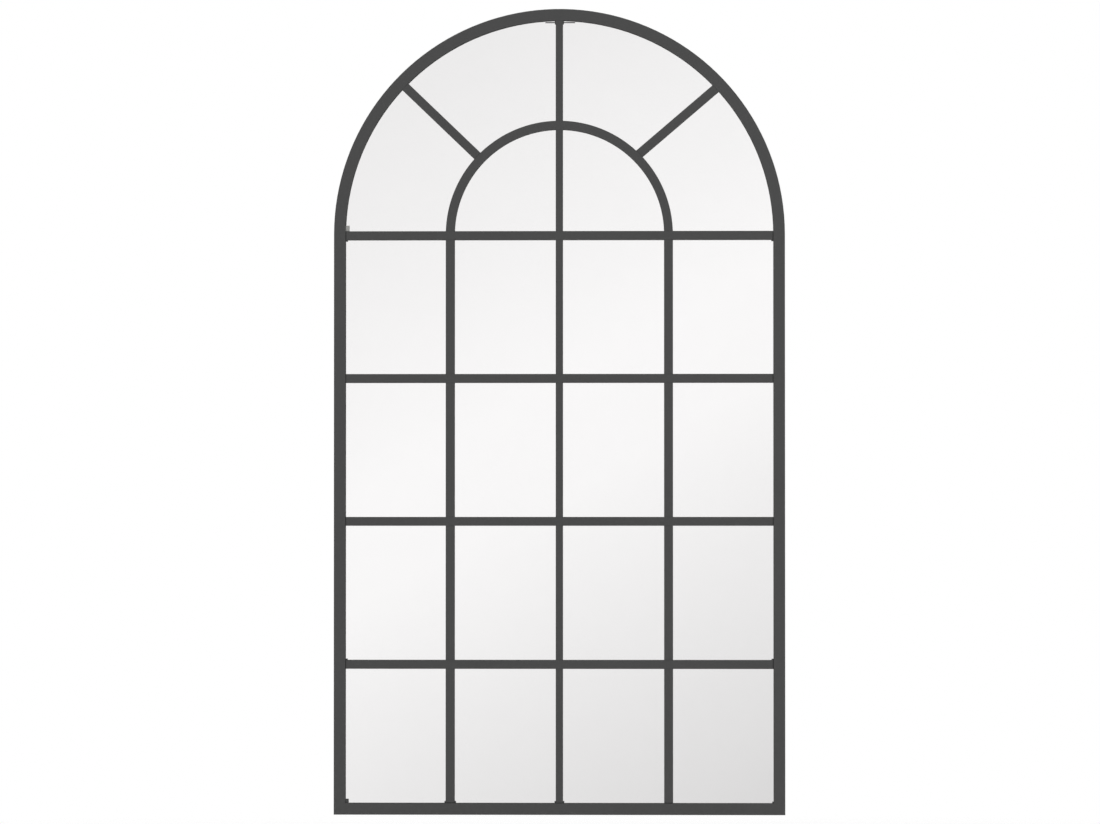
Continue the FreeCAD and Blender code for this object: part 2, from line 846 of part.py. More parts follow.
def ring_master():
    """A D ring hanging from its straight leg, whose middle is the origin."""
    pieces = [
        wire_run("ring_leg", "0 - ring_straight", "0", "2 * ring_straight", 90),
        wire_bend("ring_bow", "ring_half_width", "0", "0 - ring_arc_drop", 180, 180),
    ]
    for sign, start in ((1, 0), (-1, 90)):
        pieces.append(wire_bend("ring_corner", "ring_corner_radius", f"{sign} * ring_straight",
                                "0 - ring_corner_radius", start, 90))
        pieces.append(wire_run("ring_side", f"{sign} * ring_half_width", "0 - ring_arc_drop",
                               "ring_side_length", 0))
    master = doc.addObject("Part::MultiFuse", "ring_master")
    master.Shapes = pieces
    return master


def wire_run(name, x, z, length, tilt):
    """A straight stretch of the ring's wire from (x, 0, z), upright or tilted over to +X."""
    run = doc.addObject("Part::Cylinder", name)
    run.setExpression("Radius", bound("ring_wire_radius"))
    run.setExpression("Height", bound(length))
    run.Placement = FreeCAD.Placement(
        FreeCAD.Vector(), FreeCAD.Rotation(FreeCAD.Vector(0, 1, 0), tilt)
    )
    run.setExpression("Placement.Base.x", bound(x))
    run.setExpression("Placement.Base.z", bound(z))
    return run


def wire_bend(name, radius, x, z, start, sweep):
    """A bend of the ring's wire about (x, 0, z), from a start angle, seen from the front."""
    bend = doc.addObject("Part::Torus", name)
    bend.setExpression("Radius1", bound(radius))
    bend.setExpression("Radius2", bound("ring_wire_radius"))
    bend.Angle3 = sweep
    upright_turn = FreeCAD.Rotation(FreeCAD.Vector(1, 0, 0), 90)
    start_turn = FreeCAD.Rotation(FreeCAD.Vector(0, -1, 0), start)
    bend.Placement = FreeCAD.Placement(FreeCAD.Vector(), start_turn.multiply(upright_turn))
    bend.setExpression("Placement.Base.x", bound(x))
    bend.setExpression("Placement.Base.z", bound(z))
    return bend


def hangers():
    strap = strap_master()
    ring = ring_master()
    screw = screw_master()
    screws = []
    for side, sign in (("left", -1), ("right", 1)):
        x = f"{sign} * hanger_spacing / 2"
        station = [(x, "front_y + loop_depth", "loop_height", None)]
        copies(side + "_hanger_strap", strap, station)
        copies(side + "_hanger_ring", ring, station)
        for number in range(2):
            screws.append((x, "front_y + strap_back", strap_screw(number, "loop_height"), None))
    copies("hanger_screws", screw, screws)


# ----------------------------------------------------------------------------------------------
# The gussets and the wall bumpers
# ----------------------------------------------------------------------------------------------
def lower_gussets():
    """Corner plates flush with the back edge of the frame, with blunt tips."""
    body = body_at("lower_gussets")
    plates = front_sketch(body, "frame_depth - gusset_wall")
    for sign in (-1, 1):
        leg = "lower_gusset_leg"
        tip = "lower_gusset_tip"
        corners = [
            ("0", "0"),
            (leg, "0"),
            (leg, tip),
            (tip, leg),
            ("0", leg),
        ]
        polygon(plates, [(f"{sign} * (web_half - {x})", f"frame_wall + {y}") for x, y in corners])
    pad_back(body, plates, "gusset_wall")
    node(body)


def upper_gussets():
    """Sector plates inside the arch, one on each shoulder."""
    master = body_at("upper_gusset_master", y="0")
    section = sketch_on(master, "XY_Plane")
    rectangle(section, "web_half - upper_gusset_reach", "web_half",
              "frame_depth - gusset_wall", "frame_depth")
    revolve(master, section, "upper_gusset_arc")
    starts = (
        "upper_gusset_angle - upper_gusset_arc / 2",
        "180 - upper_gusset_angle - upper_gusset_arc / 2",
    )
    copies("upper_gussets", master, [("0", "front_y", "arch_centre", start) for start in starts])


def wall_bumpers():
    """Round rubber pads on the gussets; their backs are the wall plane."""
    master = body_at("bumper_master", y="0")
    half = sketch_on(master, "XY_Plane")
    polygon(half, [
        ("0", "0"),
        ("bumper_radius", "0"),
        ("bumper_radius", "bumper_height - bumper_bevel"),
        ("bumper_radius - bumper_bevel", "bumper_height"),
        ("0", "bumper_height"),
    ])
    revolve(master, half, "360")
    stations = []
    for sign in (-1, 1):
        stations.append((f"{sign} * (web_half - bumper_inset)", "0 - bumper_height",
                         "frame_wall + bumper_inset", None))
        shoulder = "(web_half - upper_gusset_reach / 2)"
        stations.append((f"{sign} * {shoulder} * cos(upper_gusset_angle)", "0 - bumper_height",
                         f"arch_centre + {shoulder} * sin(upper_gusset_angle)", None))
    copies("wall_bumpers", master, stations)


# ----------------------------------------------------------------------------------------------
# Build, check and write
# ----------------------------------------------------------------------------------------------
def build():
    frame_arch()
    stile("left_stile", -1)
    stile("right_stile", 1)
    bottom_rail()
    corner_keys()
    horizontal_bar("transom_bar", "transom_centre", [(-1, -1), (1, -1)])
    horizontal_bar("upper_glazing_bar", "upper_bar_centre", [])
    horizontal_bar("middle_glazing_bar", "middle_bar_centre", [])
    horizontal_bar("lower_glazing_bar", "lower_bar_centre", [(-1, 1), (1, 1)])
    side_mullion("left_mullion", -1, (-1, 1))
    side_mullion("right_mullion", 1, ())
    centre_mullion()
    crown_pin()
    inner_arch()
    spoke("left_spoke", "left")
    spoke("right_spoke", "right")
    glazing_tape()
    arched_sheet("mirror_glass", "bar_depth", "glass_thickness")
    arched_sheet("backing_board", "board_front", "board_thickness")
    setting_blocks()
    clips_studs_and_nuts()
    hanger_rail()
    hangers()
    lower_gussets()
    upper_gussets()
    wall_bumpers()


def check():
    """Stop if anything failed, or if a cut removed nothing."""
    doc.recompute()
    for item in doc.Objects:
        if "Invalid" in item.State or "Error" in item.State:
            raise RuntimeError(f"{item.Label} failed: {item.State}")
        if item.TypeId in ("PartDesign::Pocket", "PartDesign::Groove"):
            removed = item.BaseFeature.Shape.Volume - item.Shape.Volume
            if removed < 0.01:
                raise RuntimeError(f"{item.Label} cut nothing")
    for item in NODES:
        shape = item.Shape
        if shape.isNull() or not shape.isValid() or not shape.Solids:
            raise RuntimeError(f"{item.Label} has no valid solid")


def write():
    os.makedirs("parts", exist_ok=True)
    for item in NODES:
        item.Shape.exportStep(f"parts/{item.Label}.step")
        box = item.Shape.BoundBox
        print(f"{item.Label:22s} solids {len(item.Shape.Solids):3d}  "
              f"x {box.XMin:8.2f} {box.XMax:8.2f}  y {box.YMin:7.2f} {box.YMax:7.2f}  "
              f"z {box.ZMin:8.2f} {box.ZMax:8.2f}")


write_sheet()
build()
check()
write()
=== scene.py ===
# %% [markdown]
# # Arched window mirror
# A tall round-headed wall mirror: one sheet of silvered glass in a slim steel frame, with flat
# glazing bars laid over it like the bars of a fanlight window. The exact steel, glass and
# hardware come from the CAD model, which is loaded first and never moved. This lesson gives
# them their finishes, replaces the few pieces that the CAD keeps plain (the mirror glass with
# its silver, the threaded studs, the nuts and the screws) and adds the welds.

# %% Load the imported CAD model
import json
import math
import random

import bmesh
import bpy
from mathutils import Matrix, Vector


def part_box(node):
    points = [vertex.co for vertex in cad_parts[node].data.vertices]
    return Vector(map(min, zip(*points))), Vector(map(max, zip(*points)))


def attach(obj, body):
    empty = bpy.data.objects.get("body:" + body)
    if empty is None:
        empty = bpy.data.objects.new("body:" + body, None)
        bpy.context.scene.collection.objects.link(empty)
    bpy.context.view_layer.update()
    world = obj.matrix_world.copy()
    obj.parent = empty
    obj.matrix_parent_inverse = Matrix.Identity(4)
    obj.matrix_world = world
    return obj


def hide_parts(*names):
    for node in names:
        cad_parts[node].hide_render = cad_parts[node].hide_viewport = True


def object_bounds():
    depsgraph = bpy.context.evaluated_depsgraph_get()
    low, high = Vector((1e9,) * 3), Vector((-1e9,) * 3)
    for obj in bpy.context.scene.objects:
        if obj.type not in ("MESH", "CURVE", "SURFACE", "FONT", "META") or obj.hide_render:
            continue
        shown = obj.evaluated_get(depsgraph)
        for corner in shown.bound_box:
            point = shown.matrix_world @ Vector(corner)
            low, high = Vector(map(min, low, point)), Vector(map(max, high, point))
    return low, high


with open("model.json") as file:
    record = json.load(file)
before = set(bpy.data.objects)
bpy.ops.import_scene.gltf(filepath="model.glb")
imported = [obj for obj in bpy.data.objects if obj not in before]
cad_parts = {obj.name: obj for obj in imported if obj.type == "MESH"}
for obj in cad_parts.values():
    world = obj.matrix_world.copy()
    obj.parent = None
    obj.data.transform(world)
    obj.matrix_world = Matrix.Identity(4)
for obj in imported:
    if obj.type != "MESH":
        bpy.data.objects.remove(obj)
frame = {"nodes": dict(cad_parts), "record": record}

cad_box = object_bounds()
parts = frame["nodes"]
print("CAD nodes:", len(parts), "box in mm:", [[round(v * 1000, 1) for v in c] for c in cad_box])

# %% [markdown]
# ## Camera
# The photograph was taken nearly straight on from far away: no side of the frame shows, and
# the bars stay parallel but for a third of a percent. A long lens ten metres off gives that.
# The mirror is a hair taller on its right and wider at its foot, so the camera stands one and
# a half degrees to the right and one degree low. One pixel of the photograph is 1.5754 mm on
# the object, which fixes the lens; the small step to the left puts the mirror where it
# stands in the picture, a little right of the middle.

# %% Camera
MM = 0.001
PHOTO_WIDTH = 1100
PIXEL = 1.5754 * MM
CAMERA_DISTANCE = 10.0
CAMERA_TURN = math.radians(1.53)
CAMERA_TILT = math.radians(1.00)
STEP_ACROSS, STEP_UP = -14.6 * MM, -0.8 * MM
AIM = Vector((0, cad_box[0].y, 635 * MM))

camera_data = bpy.data.cameras.new("photo_camera")
camera_data.lens = camera_data.sensor_width * CAMERA_DISTANCE / (PHOTO_WIDTH * PIXEL)
camera = bpy.data.objects.new("photo_camera", camera_data)
camera.rotation_euler = (math.radians(90) + CAMERA_TILT, 0, CAMERA_TURN)
across, up, back = camera.rotation_euler.to_matrix().transposed()
camera.location = AIM + back * CAMERA_DISTANCE + across * STEP_ACROSS + up * STEP_UP
bpy.context.scene.collection.objects.link(camera)
bpy.context.scene.camera = camera
bpy.context.scene.view_settings.view_transform = "Standard"
print("lens:", round(camera_data.lens, 1), "mm")

# %% [markdown]
# ## Colour and node helpers
# A colour is easiest to choose as the hex value that the eye sees on a screen, but a shader
# works with linear light, so one function converts it. A second one adds a node, sets it and
# joins its inputs, so that each material below reads as a list of what it is made of. A noise
# repeats about once in each unit of its coordinates, and these are metres, so a third function
# gives the scale for humps that lie a known number of millimetres apart.

# %% Helpers for materials
def linear(hex_colour):
    """A #RRGGBB screen colour as the linear RGBA that a shader takes."""
    channels = [int(hex_colour[i:i + 2], 16) / 255 for i in (1, 3, 5)]
    return [c / 12.92 if c <= 0.04045 else ((c + 0.055) / 1.055) ** 2.4 for c in channels] + [1.0]


def add(tree, kind, inputs=None, stops=None, **settings):
    """Add one node. inputs holds a value or another node's output for each socket."""
    node = tree.nodes.new(kind)
    for name, value in settings.items():
        setattr(node, name, value)
    for name, value in (inputs or {}).items():
        if isinstance(value, bpy.types.NodeSocket):
            tree.links.new(value, node.inputs[name])
        else:
            node.inputs[name].default_value = value
    for number, (position, colour) in enumerate(stops or []):
        ramp = node.color_ramp.elements
        stop = ramp[number] if number < 2 else ramp.new(position)
        stop.position, stop.color = position, linear(colour)
    return node


def every(millimetres):
    """The scale of a pattern that repeats about once in so many millimetres."""
    return 1 / (millimetres * MM)


def blank(name):
    """A new empty material, its node tree, and the object's own coordinates in metres."""
    material = bpy.data.materials.new(name)
    material.use_nodes = True
    tree = material.node_tree
    tree.nodes.clear()
    place = add(tree, "ShaderNodeTexCoord").outputs["Object"]
    return material, tree, place


# %% [markdown]
# ## Studio: light all round
# The product stands in a white studio. Whatever looks straight into the room sees white. The
# glass and the metal see the same white, with the soft fall of tone that a large curved
# reflector gives: lighter in the middle, darker towards the lower right. That fall is what
# shows in the mirror. From eight degrees off the way that the glass faces, the walls are hung
# with soft white panels, which keep the glass alive from other angles. Direction alone decides
# the tone, so it is a room and not a painting.

# %% World
FALL_ACROSS, FALL_DOWN = 0.485, 0.875
LIGHT_SIDE, DARK_SIDE = -0.108, 0.092
FLATTEST = 0.05
PANELS_BEGIN, PANELS_FULL = -0.99, -0.95
PANELS_PER_RADIAN = 3.5
LIGHT_ON_MATT = 0.48

world = bpy.data.worlds.new("white_studio")
bpy.context.scene.world = world
world.use_nodes = True
room = world.node_tree
room.nodes.clear()
ahead = add(room, "ShaderNodeTexCoord").outputs["Generated"]
way = add(room, "ShaderNodeSeparateXYZ", {"Vector": ahead})
along = add(room, "ShaderNodeMath", {0: way.outputs["X"], 1: FALL_ACROSS},
            operation="MULTIPLY")
down = add(room, "ShaderNodeMath", {0: way.outputs["Z"], 1: -FALL_DOWN, 2: along.outputs[0]},
           operation="MULTIPLY_ADD")
depth = add(room, "ShaderNodeMath", {0: way.outputs["Y"]}, operation="ABSOLUTE")
depth = add(room, "ShaderNodeMath", {0: depth.outputs[0], 1: FLATTEST}, operation="MAXIMUM")
slope = add(room, "ShaderNodeMath", {0: down.outputs[0], 1: depth.outputs[0]},
            operation="DIVIDE")
slope = add(room, "ShaderNodeMapRange", {"Value": slope.outputs[0], "From Min": LIGHT_SIDE,
                                         "From Max": DARK_SIDE})
tone = add(room, "ShaderNodeValToRGB", {"Fac": slope.outputs[0]}, stops=(
    (0.12, "#F0F0F0"), (1.0, "#D5D5D5"), (0.38, "#FDFDFD"), (0.46, "#FCFCFC"),
    (0.55, "#F3F3F3"), (0.625, "#EBEBEB"), (0.70, "#E3E3E3"), (0.77, "#DADADA")))
panels = add(room, "ShaderNodeTexNoise", {"Vector": ahead, "Scale": PANELS_PER_RADIAN,
                                          "Detail": 0.0})
panels = add(room, "ShaderNodeValToRGB", {"Fac": panels.outputs["Fac"]},
             stops=((0.30, "#D2D2D2"), (0.70, "#F6F6F6")))
aside = add(room, "ShaderNodeMapRange", {"Value": way.outputs["Y"],
                                         "From Min": PANELS_BEGIN, "From Max": PANELS_FULL})
tone = add(room, "ShaderNodeMix", {0: aside.outputs[0], 6: tone.outputs[0],
                                   7: panels.outputs[0]}, data_type="RGBA")
seen = add(room, "ShaderNodeLightPath")
mirrored = add(room, "ShaderNodeMath", {0: seen.outputs["Is Glossy Ray"],
                                        1: seen.outputs["Is Transmission Ray"]},
               operation="MAXIMUM")
light = add(room, "ShaderNodeBackground", {"Color": linear("#FFFFFF"),
                                           "Strength": LIGHT_ON_MATT})
reflected = add(room, "ShaderNodeBackground", {"Color": tone.outputs[2], "Strength": 1.0})
plain = add(room, "ShaderNodeBackground", {"Color": linear("#FFFFFF"), "Strength": 1.0})
light = add(room, "ShaderNodeMixShader", {0: mirrored.outputs[0], 1: light.outputs[0],
                                          2: reflected.outputs[0]})
light = add(room, "ShaderNodeMixShader", {0: seen.outputs["Is Camera Ray"],
                                          1: light.outputs[0], 2: plain.outputs[0]})
add(room, "ShaderNodeOutputWorld", {"Surface": light.outputs[0]})
print("world nodes:", len(room.nodes))

# %% [markdown]
# ## Studio: lamps
# Big soft lamps stand in front and one behind. They are large and far off, so no hard shadow
# or hot spot appears. The key lamp is high on the right, which makes the head of the frame
# and its right side a touch lighter, as in the photograph. They light the matt surfaces
# alone: a mirror would show them as white squares, so the glossy rays see only the room.

# %% Lamps
MIDDLE = (cad_box[0] + cad_box[1]) / 2


def soft_lamp(name, place, side, watts):
    """A square area lamp, placed and sized in metres, that faces the middle of the mirror."""
    data = bpy.data.lights.new(name, "AREA")
    data.size, data.energy = side, watts
    lamp = bpy.data.objects.new(name, data)
    lamp.location = place
    lamp.rotation_euler = (MIDDLE - Vector(place)).to_track_quat("-Z", "Y").to_euler()
    lamp.visible_camera = lamp.visible_glossy = lamp.visible_transmission = False
    bpy.context.scene.collection.objects.link(lamp)


soft_lamp("key_lamp", (1.4, -3.4, 3.7), 1.6, 74)
soft_lamp("fill_lamp", (3.0, -3.6, 1.4), 2.4, 25)
soft_lamp("side_lamp", (-3.0, -3.6, 1.2), 2.4, 10)
soft_lamp("back_lamp", (-1.6, 3.4, 3.0), 2.0, 60)

# %% [markdown]
# ## Studio: floor
# The mirror hangs, so the floor lies a little below it and only takes its soft shadow. It is
# a round pale sheet that thins out towards its rim, so that from above it melts into the
# white room with no horizon. Its underside is clear, so a look from below isn't blocked.

# %% Floor
FLOOR_DROP = 150 * MM
FLOOR_RADIUS = 3.4
FADE_FROM, FADE_TO = 1.0, 3.3

floor_mesh = bpy.data.meshes.new("studio_floor")
floor_maker = bmesh.new()
bmesh.ops.create_circle(floor_maker, cap_ends=True, segments=128, radius=FLOOR_RADIUS)
floor_maker.to_mesh(floor_mesh)
floor_maker.free()
floor = bpy.data.objects.new("studio_floor", floor_mesh)
floor.location = (0, 0, -FLOOR_DROP)
bpy.context.scene.collection.objects.link(floor)

paper, tree, place = blank("matt_studio_paper")
distance = add(tree, "ShaderNodeVectorMath", {0: place}, operation="LENGTH")
fade = add(tree, "ShaderNodeMapRange", {"Value": distance.outputs["Value"],
                                        "From Min": FADE_FROM, "From Max": FADE_TO},
           interpolation_type="SMOOTHSTEP")
fibre = add(tree, "ShaderNodeTexNoise", {"Vector": place, "Scale": every(25), "Detail": 3.0})
sheet = add(tree, "ShaderNodeValToRGB", {"Fac": fibre.outputs["Fac"]},
            stops=((0.3, "#F6F6F5"), (0.7, "#F9F9F8")))
matt = add(tree, "ShaderNodeBsdfDiffuse", {"Color": sheet.outputs[0]})
gone = add(tree, "ShaderNodeBsdfTransparent")
underside = add(tree, "ShaderNodeNewGeometry").outputs["Backfacing"]
clear = add(tree, "ShaderNodeMath", {0: fade.outputs[0], 1: underside}, operation="MAXIMUM")
surface = add(tree, "ShaderNodeMixShader", {0: clear.outputs[0], 1: matt.outputs[0],
                                            2: gone.outputs[0]})
add(tree, "ShaderNodeOutputMaterial", {"Surface": surface.outputs[0]})
floor_mesh.materials.append(paper)
print("floor", FLOOR_DROP * 1000, "mm below the mirror")

# %% [markdown]
# ## Finish: charcoal powder coat
# The frame and bars are mild steel, sprayed with charcoal polyester powder and baked. Baking
# leaves a satin skin with a faint orange peel, about a millimetre from hump to hump and a few
# hundredths high, and the coat thins and lightens on the sharp edges. Its pigment is a finer
# speck of two greys, and its tone drifts a little from hand to hand. All but the drift is
# finer than a pixel of the picture, so from afar it shows as a soft sheen. In tight seams,
# such as those between a bar's end and the frame, an ambient occlusion node paints shade: it
# darkens the coat to near black there and makes it a little rougher.

# %% Powder-coated steel
SEAM_SHADE_REACH = 2.2 * MM
WORN_EDGE = 0.5 * MM

powder_coat, tree, place = blank("powder_coated_steel")
cloud = add(tree, "ShaderNodeTexNoise", {"Vector": place, "Scale": every(111),
                                         "Detail": 2.0})
speck = add(tree, "ShaderNodeTexNoise", {"Vector": place, "Scale": every(0.55),
                                         "Detail": 2.0})
coat = add(tree, "ShaderNodeValToRGB", {"Fac": cloud.outputs["Fac"]},
           stops=((0.3, "#3D3D3D"), (0.7, "#414141")))
pigment = add(tree, "ShaderNodeValToRGB", {"Fac": speck.outputs["Fac"]},
              stops=((0.35, "#363636"), (0.75, "#494949")))
coat = add(tree, "ShaderNodeMix", {0: 0.35, 6: coat.outputs[0], 7: pigment.outputs[0]},
           data_type="RGBA")
rounded = add(tree, "ShaderNodeBevel", {"Radius": WORN_EDGE}, samples=4)
true = add(tree, "ShaderNodeNewGeometry").outputs["True Normal"]
turn = add(tree, "ShaderNodeVectorMath", {0: rounded.outputs[0], 1: true},
           operation="DOT_PRODUCT")
edge = add(tree, "ShaderNodeMapRange", {"Value": turn.outputs["Value"], "From Min": 0.98,
                                        "From Max": 0.80, "To Max": 0.30})
coat = add(tree, "ShaderNodeMix", {0: edge.outputs[0], 6: coat.outputs[2],
                                   7: linear("#565656")}, data_type="RGBA")
# Painted shade: ambient occlusion darkens the coat to near black (#0C0C0C) in tight seams and
# makes it rougher there.
painted_seam_shade = add(tree, "ShaderNodeAmbientOcclusion", {"Distance": SEAM_SHADE_REACH}, samples=6)
painted_seam_shade = add(tree, "ShaderNodeMapRange", {"Value": painted_seam_shade.outputs["AO"], "From Min": 0.40,
                                         "From Max": 0.80, "To Min": 0.95, "To Max": 0.0})
coat = add(tree, "ShaderNodeMix", {0: painted_seam_shade.outputs[0], 6: coat.outputs[2],
                                   7: linear("#0C0C0C")}, data_type="RGBA")
peel = add(tree, "ShaderNodeTexNoise", {"Vector": place, "Scale": every(1.05),
                                        "Detail": 1.0})
skin = add(tree, "ShaderNodeBump", {"Height": peel.outputs["Fac"], "Strength": 0.7,
                                    "Distance": 0.05 * MM})
gloss = add(tree, "ShaderNodeMapRange", {"Value": cloud.outputs["Fac"], "To Min": 0.48,
                                         "To Max": 0.58})
gloss = add(tree, "ShaderNodeMix", {0: painted_seam_shade.outputs[0], 2: gloss.outputs[0], 3: 0.9})
surface = add(tree, "ShaderNodeBsdfPrincipled", {
    "Base Color": coat.outputs[2], "Roughness": gloss.outputs[0], "IOR": 1.5,
    "Normal": skin.outputs[0]})
add(tree, "ShaderNodeOutputMaterial", {"Surface": surface.outputs[0]})

# %% [markdown]
# ## Finish: bright zinc plate
# Clips, studs, nuts, straps, rings and screws are steel with a thin bright zinc plate. It is a
# metal, so its colour is the colour of its reflection: a cool light grey, broken by faint
# marks a third of a millimetre apart and by duller patches, 8 mm wide, where the bath ran off.

# %% Zinc-plated steel
zinc_plate, tree, place = blank("bright_zinc_plated_steel")
patch = add(tree, "ShaderNodeTexNoise", {"Vector": place, "Scale": every(8.3),
                                         "Detail": 3.0})
marks = add(tree, "ShaderNodeTexNoise", {"Vector": place, "Scale": every(0.33),
                                         "Detail": 2.0})
plate = add(tree, "ShaderNodeValToRGB", {"Fac": patch.outputs["Fac"]},
            stops=((0.3, "#B4B7B9"), (0.7, "#CDCFCF")))
gloss = add(tree, "ShaderNodeMapRange", {"Value": patch.outputs["Fac"], "From Min": 0.3,
                                         "From Max": 0.7, "To Min": 0.38, "To Max": 0.24})
drawn = add(tree, "ShaderNodeBump", {"Height": marks.outputs["Fac"], "Strength": 0.3,
                                     "Distance": 0.01 * MM})
surface = add(tree, "ShaderNodeBsdfPrincipled", {
    "Base Color": plate.outputs[0], "Metallic": 1.0, "Roughness": gloss.outputs[0],
    "Normal": drawn.outputs[0]})
add(tree, "ShaderNodeOutputMaterial", {"Surface": surface.outputs[0]})

# %% [markdown]
# ## Finish: hardboard
# The backing is 3 mm hardboard: wood fibre pressed hot into a dense brown sheet. Its smooth
# side faces out. Fibres a few millimetres long lie in all directions, drawn here as noise
# stretched along three leans, a little coarser than the real 0.1 mm fibres so that they show.
# Fine dark specks of bark are pressed in with them, one in each 5 mm.

# %% Hardboard
FIBRE_SIZE = (0.45 * MM, 0.45 * MM, 4.0 * MM)
FIBRE_LEANS = (0.25, 1.30, 2.35)

hardboard, tree, place = blank("pressed_hardboard")
heights = []
for lean in FIBRE_LEANS:
    run = add(tree, "ShaderNodeMapping", {"Vector": place, "Rotation": (0, lean, 0),
                                          "Scale": FIBRE_SIZE}, vector_type="TEXTURE")
    heights.append(add(tree, "ShaderNodeTexNoise", {"Vector": run.outputs[0], "Scale": 1.0,
                                                    "Detail": 2.0}).outputs["Fac"])
fibres = add(tree, "ShaderNodeMath", {0: heights[0], 1: heights[1]}, operation="MAXIMUM")
fibres = add(tree, "ShaderNodeMath", {0: fibres.outputs[0], 1: heights[2]},
             operation="MAXIMUM")
cloud = add(tree, "ShaderNodeTexNoise", {"Vector": place, "Scale": every(71.4),
                                         "Detail": 4.0})
board = add(tree, "ShaderNodeValToRGB", {"Fac": fibres.outputs[0]}, stops=(
    (0.48, "#5C422D"), (0.82, "#8F7052"), (0.64, "#765940")))
shade = add(tree, "ShaderNodeMapRange", {"Value": cloud.outputs["Fac"], "From Min": 0.3,
                                         "From Max": 0.7, "To Min": 0.0, "To Max": 0.25})
board = add(tree, "ShaderNodeMix", {0: shade.outputs[0], 6: board.outputs[0],
                                    7: linear("#4F3826")}, data_type="RGBA")
bark = add(tree, "ShaderNodeTexVoronoi", {"Vector": place, "Scale": every(5.26)})
speck = add(tree, "ShaderNodeMapRange", {"Value": bark.outputs["Distance"], "From Min": 0.05,
                                         "From Max": 0.09, "To Min": 0.5, "To Max": 0.0})
board = add(tree, "ShaderNodeMix", {0: speck.outputs[0], 6: board.outputs[2],
                                    7: linear("#33231A")}, data_type="RGBA")
pressed = add(tree, "ShaderNodeBump", {"Height": fibres.outputs[0], "Strength": 0.5,
                                       "Distance": 0.05 * MM})
gloss = add(tree, "ShaderNodeMapRange", {"Value": fibres.outputs[0], "To Min": 0.80,
                                         "To Max": 0.62})
surface = add(tree, "ShaderNodeBsdfPrincipled", {
    "Base Color": board.outputs[2], "Roughness": gloss.outputs[0], "IOR": 1.47,
    "Normal": pressed.outputs[0]})
add(tree, "ShaderNodeOutputMaterial", {"Surface": surface.outputs[0]})

# %% [markdown]
# ## Finish: foam tape and rubber
# Grey closed-cell foam tape lies between the frame and the glass; its cut end shows in one
# corner of the photograph. Its cells are about half a millimetre wide. The setting blocks and
# wall bumpers are black moulded rubber with a fine spark-eroded texture and a faint grey bloom.

# %% Foam and rubber
foam, tree, place = blank("closed_cell_foam")
cells = add(tree, "ShaderNodeTexVoronoi", {"Vector": place, "Scale": every(0.5)})
foam_tone = add(tree, "ShaderNodeValToRGB", {"Fac": cells.outputs["Distance"]},
                stops=((0.1, "#8C8C8A"), (0.6, "#ABABA8")))
pores = add(tree, "ShaderNodeBump", {"Height": cells.outputs["Distance"], "Strength": 0.8,
                                     "Distance": 0.15 * MM})
surface = add(tree, "ShaderNodeBsdfPrincipled", {
    "Base Color": foam_tone.outputs[0], "Roughness": 0.95, "Normal": pores.outputs[0]})
add(tree, "ShaderNodeOutputMaterial", {"Surface": surface.outputs[0]})

rubber, tree, place = blank("black_moulded_rubber")
grain = add(tree, "ShaderNodeTexNoise", {"Vector": place, "Scale": every(0.4),
                                         "Detail": 3.0})
bloom = add(tree, "ShaderNodeTexNoise", {"Vector": place, "Scale": every(5.5),
                                         "Detail": 2.0})
rubber_tone = add(tree, "ShaderNodeValToRGB", {"Fac": bloom.outputs["Fac"]},
                  stops=((0.35, "#1B1B1B"), (0.7, "#2A2A29")))
texture = add(tree, "ShaderNodeBump", {"Height": grain.outputs["Fac"], "Strength": 0.6,
                                       "Distance": 0.03 * MM})
gloss = add(tree, "ShaderNodeMapRange", {"Value": bloom.outputs["Fac"], "To Min": 0.60,
                                         "To Max": 0.80})
surface = add(tree, "ShaderNodeBsdfPrincipled", {
    "Base Color": rubber_tone.outputs[0], "Roughness": gloss.outputs[0], "IOR": 1.52,
    "Normal": texture.outputs[0]})
add(tree, "ShaderNodeOutputMaterial", {"Surface": surface.outputs[0]})

# %% [markdown]
# ## Finish: float glass, ground edge and silver
# A mirror is clear float glass, IOR 1.52, with a skin of silver on its back and paint over
# the silver. The light goes through the glass, comes back off the silver and leaves through
# the glass again, so the bars and their reflections stand twice the glass thickness apart.
# Three materials on one sheet give that. A breath of haze, a few centimetres wide, is all that
# breaks the polish. The ground edge is matt and green, because there the eye looks through a
# long way of glass.

# %% Glass materials
float_glass, tree, place = blank("clear_float_glass")
haze = add(tree, "ShaderNodeTexNoise", {"Vector": place, "Scale": every(28.6),
                                        "Detail": 4.0})
clear = add(tree, "ShaderNodeMapRange", {"Value": haze.outputs["Fac"], "From Min": 0.55,
                                         "From Max": 0.85, "To Max": 0.012})
tint = add(tree, "ShaderNodeValToRGB", {"Fac": haze.outputs["Fac"]},
           stops=((0.2, "#FDFEFE"), (0.8, "#FEFFFF")))
surface = add(tree, "ShaderNodeBsdfPrincipled", {
    "Base Color": tint.outputs[0], "Roughness": clear.outputs[0], "IOR": 1.52,
    "Transmission Weight": 1.0})
add(tree, "ShaderNodeOutputMaterial", {"Surface": surface.outputs[0]})

ground_edge, tree, place = blank("ground_glass_edge")
scratches = add(tree, "ShaderNodeTexNoise", {"Vector": place, "Scale": every(0.67),
                                             "Detail": 3.0})
edge_tone = add(tree, "ShaderNodeValToRGB", {"Fac": scratches.outputs["Fac"]},
                stops=((0.3, "#6F9685"), (0.7, "#A9C7BA")))
matt = add(tree, "ShaderNodeBump", {"Height": scratches.outputs["Fac"], "Strength": 0.5,
                                    "Distance": 0.03 * MM})
surface = add(tree, "ShaderNodeBsdfPrincipled", {
    "Base Color": edge_tone.outputs[0], "Roughness": 0.45, "IOR": 1.52,
    "Normal": matt.outputs[0]})
add(tree, "ShaderNodeOutputMaterial", {"Surface": surface.outputs[0]})

